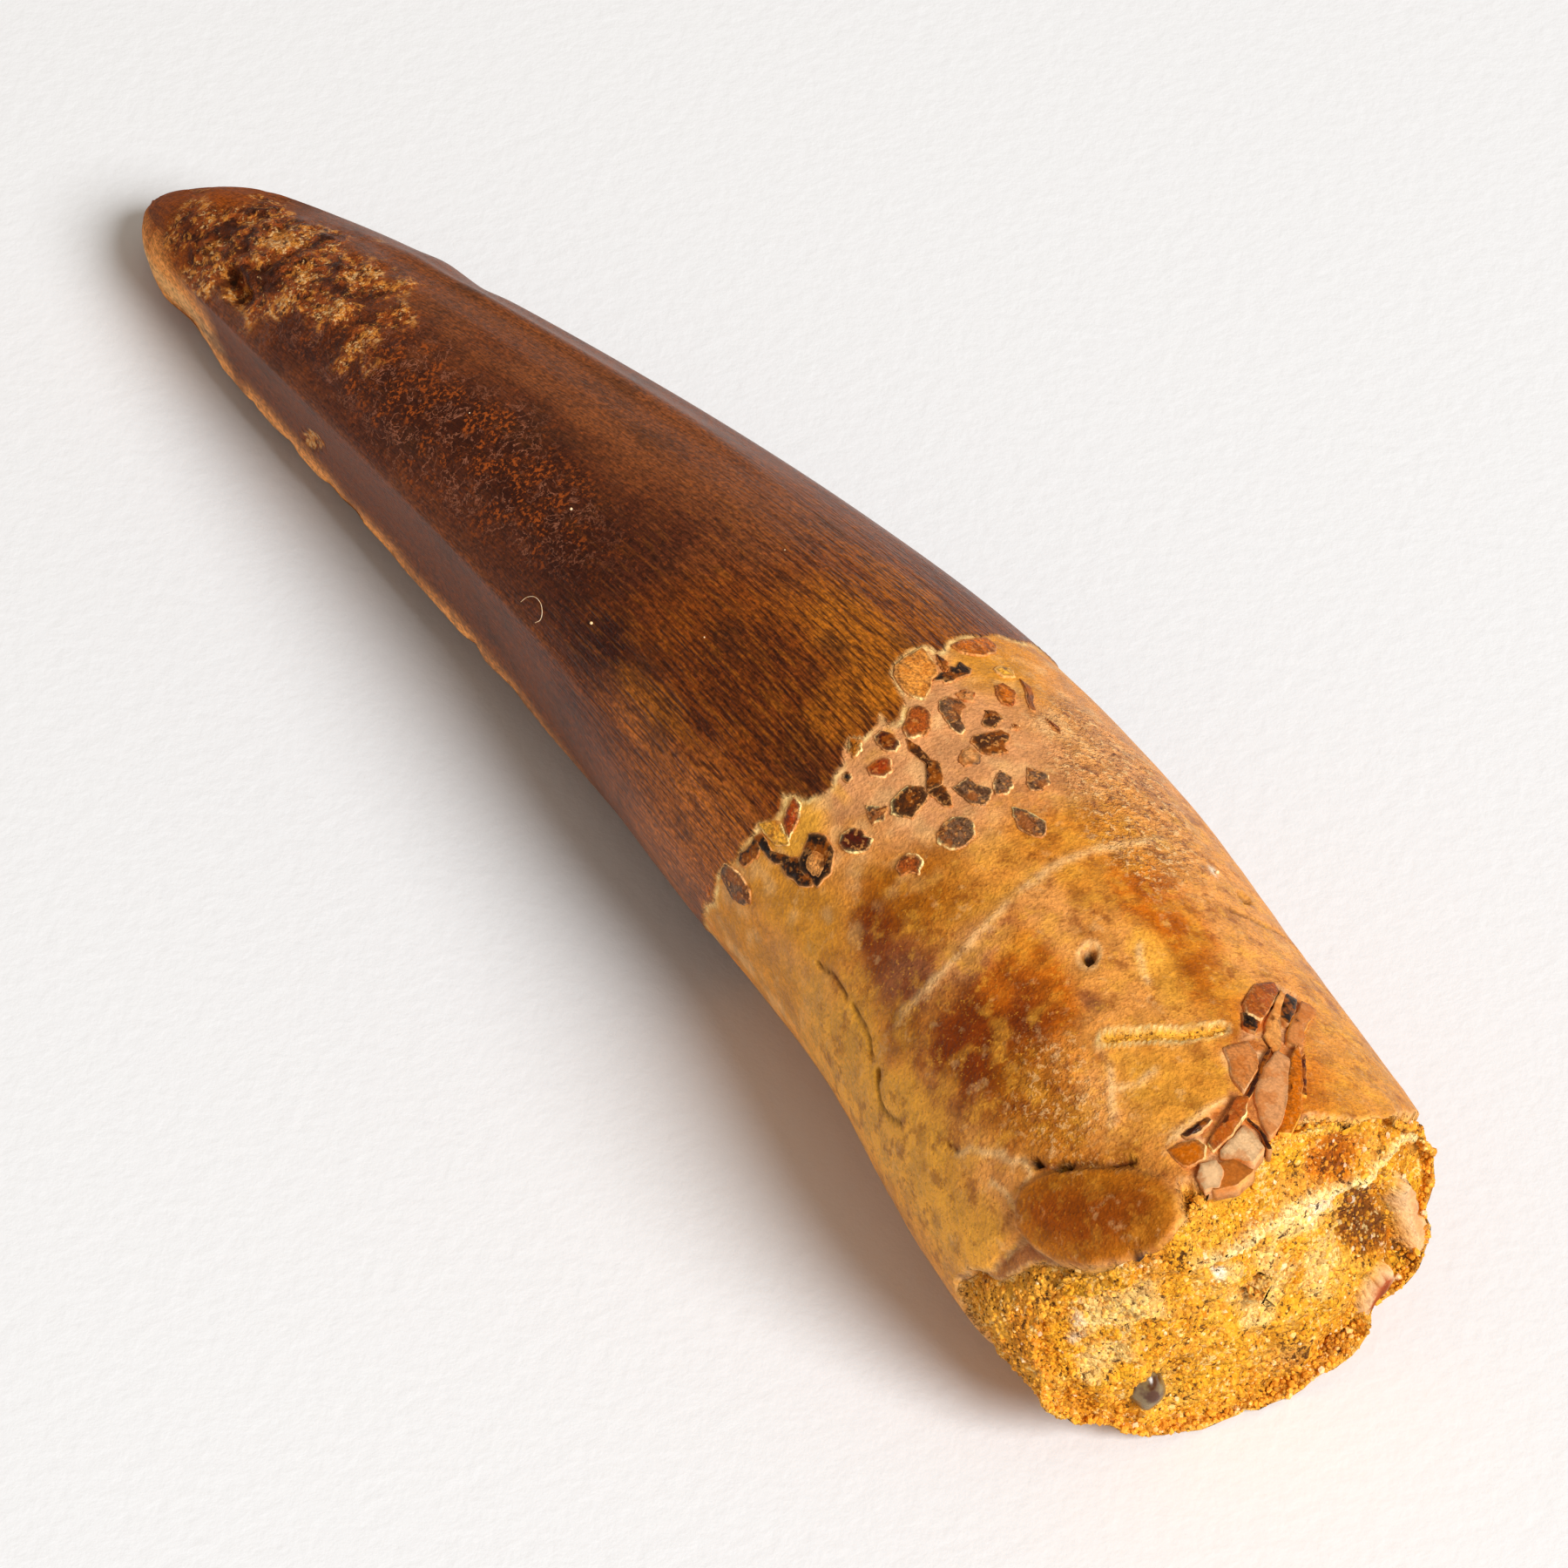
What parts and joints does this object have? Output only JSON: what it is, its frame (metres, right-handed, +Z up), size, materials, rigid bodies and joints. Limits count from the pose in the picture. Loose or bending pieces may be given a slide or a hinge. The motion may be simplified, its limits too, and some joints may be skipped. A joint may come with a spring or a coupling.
{
  "type": "spinosaurus tooth",
  "caption": "Fossil tooth with a dark enamel crown, a sharp keel, an amber root and a broken, sand-filled end, lying on its flank.",
  "frame": {"origin": "middle of the tooth's box, on the surface that it rests on", "axes": "+X along the tooth from its tip to its broken root, +Y towards its bowed side, +Z up"},
  "size_m": [0.112, 0.0292, 0.0199],
  "materials": {
    "fossil_tooth": "mineralised enamel and dentine, chocolate to amber, satin gloss, with a granular sand-filled break"
  },
  "bodies": {
    "root": {"tooth": "fossil_tooth"}
  },
  "joints": []
}
